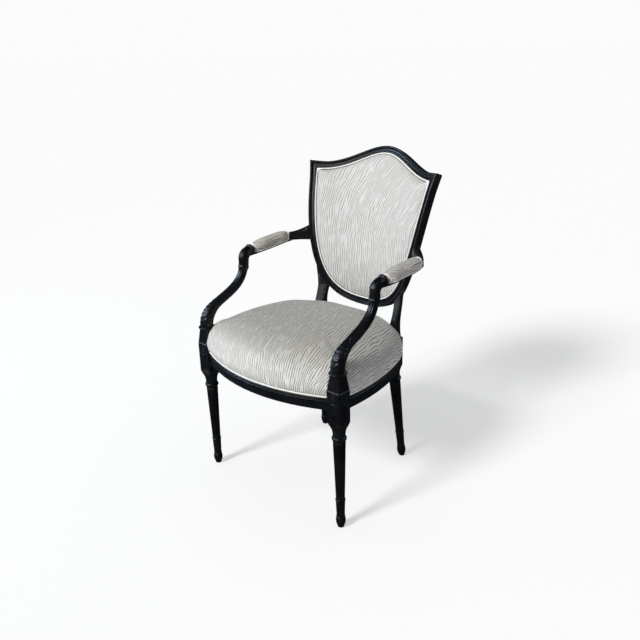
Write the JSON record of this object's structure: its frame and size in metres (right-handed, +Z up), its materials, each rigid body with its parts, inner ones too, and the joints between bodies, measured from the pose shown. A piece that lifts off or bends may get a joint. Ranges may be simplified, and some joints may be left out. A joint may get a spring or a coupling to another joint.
{
  "type": "upholstered armchair",
  "caption": "Open armchair with turned fluted front legs, a shield-shaped padded back in a moulded frame, a bowed sprung seat, scrolled arms with pads and white piping.",
  "frame": {"origin": "centre of the chair's footprint box, on the floor", "axes": "+Z up, -Y towards the front edge of the seat, +X towards the sitter's left arm"},
  "size_m": [0.576, 0.6538, 0.9655],
  "materials": {
    "paint": "satin black painted wood, rubbed at the edges",
    "fabric": "cream velvet with a wavy tone-on-tone rib",
    "cord_white": "off-white corded piping",
    "bare_wood": "bare sawn beech",
    "jute": "woven jute",
    "cambric": "thin black lining cloth",
    "steel": "plain steel"
  },
  "bodies": {
    "root": {"front_left_leg": "paint", "front_right_leg": "paint", "rear_left_leg": "paint", "rear_right_leg": "paint", "foot_glides": "steel", "front_seat_rail": "paint", "left_seat_rail": "paint", "right_seat_rail": "paint", "rear_seat_rail": "paint", "front_left_corner_block": "bare_wood", "front_right_corner_block": "bare_wood", "rear_left_corner_block": "bare_wood", "rear_right_corner_block": "bare_wood", "corner_block_screws": "steel", "crest_rail": "paint", "left_shield_side": "paint", "right_shield_side": "paint", "shield_bottom_rail": "paint", "shield_dowels": "bare_wood", "post_dowels": "bare_wood", "left_arm_support": "paint", "right_arm_support": "paint", "left_armrest": "paint", "right_armrest": "paint", "arm_dowels": "bare_wood", "left_arm_pad": "fabric", "right_arm_pad": "fabric", "left_arm_pad_piping": "cord_white", "right_arm_pad_piping": "cord_white", "seat_webbing_lengthwise": "jute", "seat_webbing_crosswise": "jute", "seat_hessian": "jute", "seat_cushion": "fabric", "front_seat_piping": "cord_white", "left_seat_piping": "cord_white", "right_seat_piping": "cord_white", "rear_seat_piping": "cord_white", "dust_cover": "cambric", "back_webbing_upright": "jute", "back_webbing_crosswise": "jute", "back_cushion": "fabric", "back_piping": "cord_white", "outside_back": "fabric", "outside_back_piping": "cord_white"}
  },
  "joints": []
}
